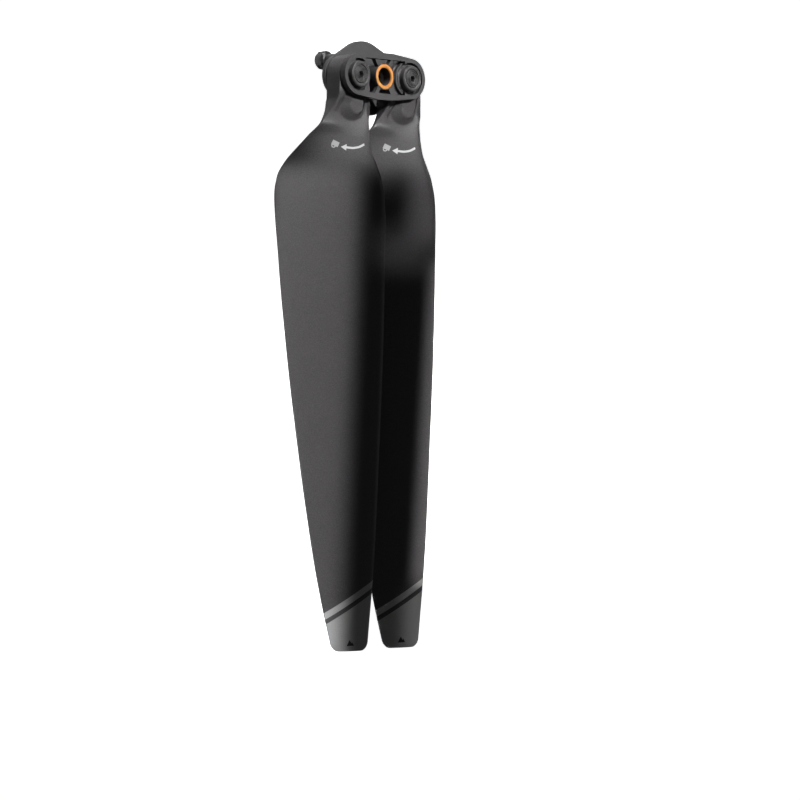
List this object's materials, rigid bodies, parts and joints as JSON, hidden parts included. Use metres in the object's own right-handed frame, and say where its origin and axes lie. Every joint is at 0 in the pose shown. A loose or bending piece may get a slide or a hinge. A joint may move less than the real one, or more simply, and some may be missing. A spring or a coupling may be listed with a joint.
{
  "type": "folding drone propeller",
  "caption": "Folding quick-release drone propeller: wide twisted blades pivoted between two hub plates with a coloured centre ring and bayonet studs below.",
  "frame": {"origin": "on the rotor axis, on the round land under the bottom plate that sits on the motor", "axes": "+Z along the rotor axis, away from the motor; +Y along the folded blades from root to tip; the blade pivots lie on X"},
  "size_m": [0.0606, 0.2036, 0.0254],
  "materials": {
    "blade_plastic": "fine-grained satin, dark grey",
    "hub_plastic": "moulded satin, dark grey",
    "cap_plastic": "smooth satin, dark grey",
    "ring_plastic": "orange marking ring",
    "screw_plastic": "blackened steel with turned rings",
    "black_steel": "black oxide steel",
    "bright_steel": "ground steel",
    "bearing_plastic": "low-friction plastic, dark",
    "stud_plastic": "hard satin plastic",
    "white_print": "printed marks",
    "tip_paint": "light grey tip paint"
  },
  "bodies": {
    "hub": {"bottom_plate": "hub_plastic", "top_plate": "hub_plastic", "marking_ring": "ring_plastic", "centre_screw": "black_steel", "pivot_cap_a": "cap_plastic", "pivot_screw_a": "screw_plastic", "pivot_nut_a": "black_steel", "pivot_sleeve_a": "bright_steel", "lower_washer_a": "bearing_plastic", "upper_washer_a": "bearing_plastic", "pivot_cap_b": "cap_plastic", "pivot_screw_b": "screw_plastic", "pivot_nut_b": "black_steel", "pivot_sleeve_b": "bright_steel", "lower_washer_b": "bearing_plastic", "upper_washer_b": "bearing_plastic", "bayonet_stud_1": "stud_plastic", "bayonet_stud_2": "stud_plastic"},
    "blade_a": {"blade_a": "blade_plastic", "blade_bush_a": "bearing_plastic"},
    "blade_b": {"blade_b": "blade_plastic", "blade_bush_b": "bearing_plastic"}
  },
  "joints": [
    {"name": "blade_a_fold", "type": "hinge", "parent": "hub", "child": "blade_a", "pos_m": [0.012, 0, 0.0054], "axis": [0, 0, -1], "range_deg": [0, 180]},
    {"name": "blade_b_fold", "type": "hinge", "parent": "hub", "child": "blade_b", "pos_m": [-0.012, 0, 0.0054], "axis": [0, 0, 1], "range_deg": [0, 180]}
  ]
}
